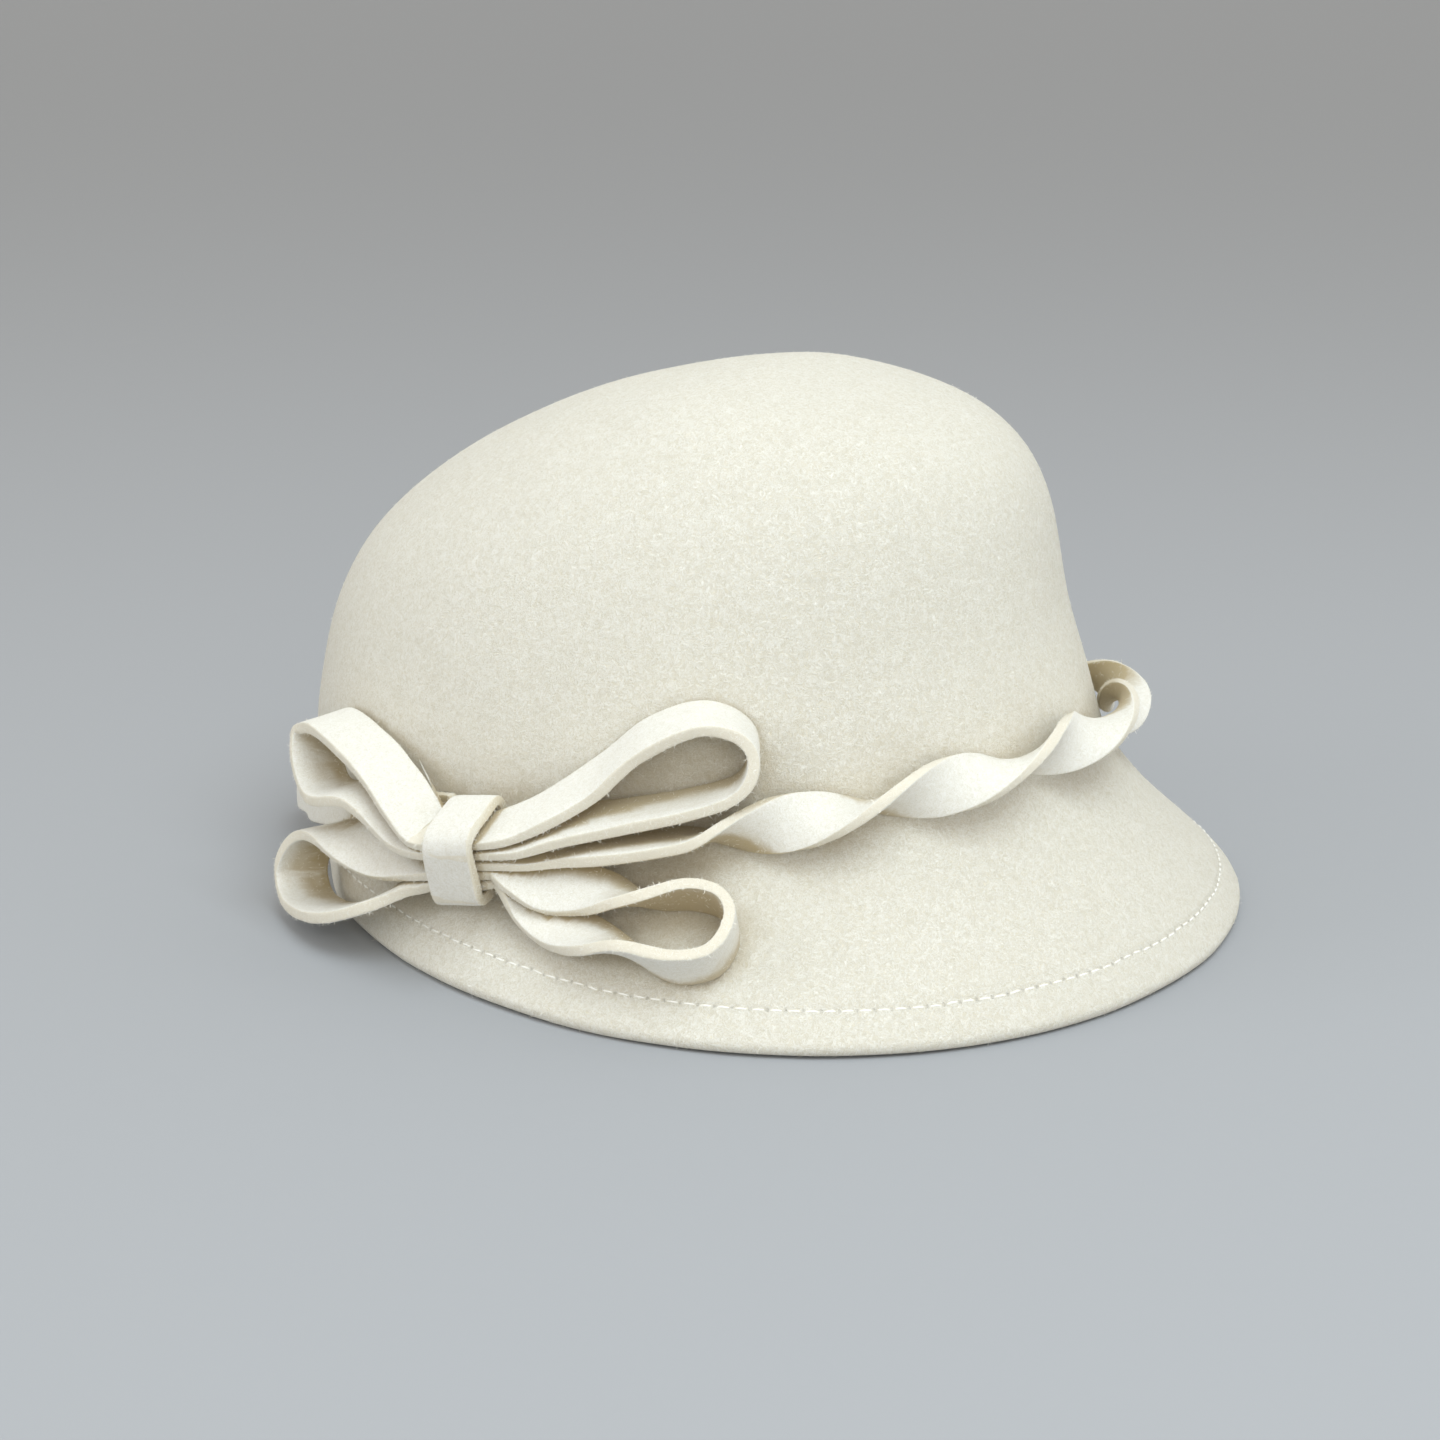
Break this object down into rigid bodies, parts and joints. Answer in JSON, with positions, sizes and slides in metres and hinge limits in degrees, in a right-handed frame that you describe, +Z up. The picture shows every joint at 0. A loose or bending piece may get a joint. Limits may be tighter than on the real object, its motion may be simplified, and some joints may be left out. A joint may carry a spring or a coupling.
{
  "type": "cloche hat",
  "caption": "Felt cloche hat with a rounded crown, a flared brim with a stitched hem, a twisted felt band and a looped felt bow at the side.",
  "frame": {"origin": "on the surface that the brim rests on, under the middle of the hat's box", "axes": "+X to the front of the hat, +Y to the wearer's left, +Z up through the crown; the bow is on -Y"},
  "size_m": [0.2542, 0.221, 0.1352],
  "materials": {
    "body_felt": "matte",
    "strip_felt": "matte"
  },
  "bodies": {
    "root": {"felt_body": "body_felt", "twist_band": "strip_felt", "bow_loop_front_upper": "strip_felt", "bow_loop_front_lower": "strip_felt", "bow_loop_back_upper": "strip_felt", "bow_loop_back_lower": "strip_felt", "bow_knot": "strip_felt"}
  },
  "joints": []
}
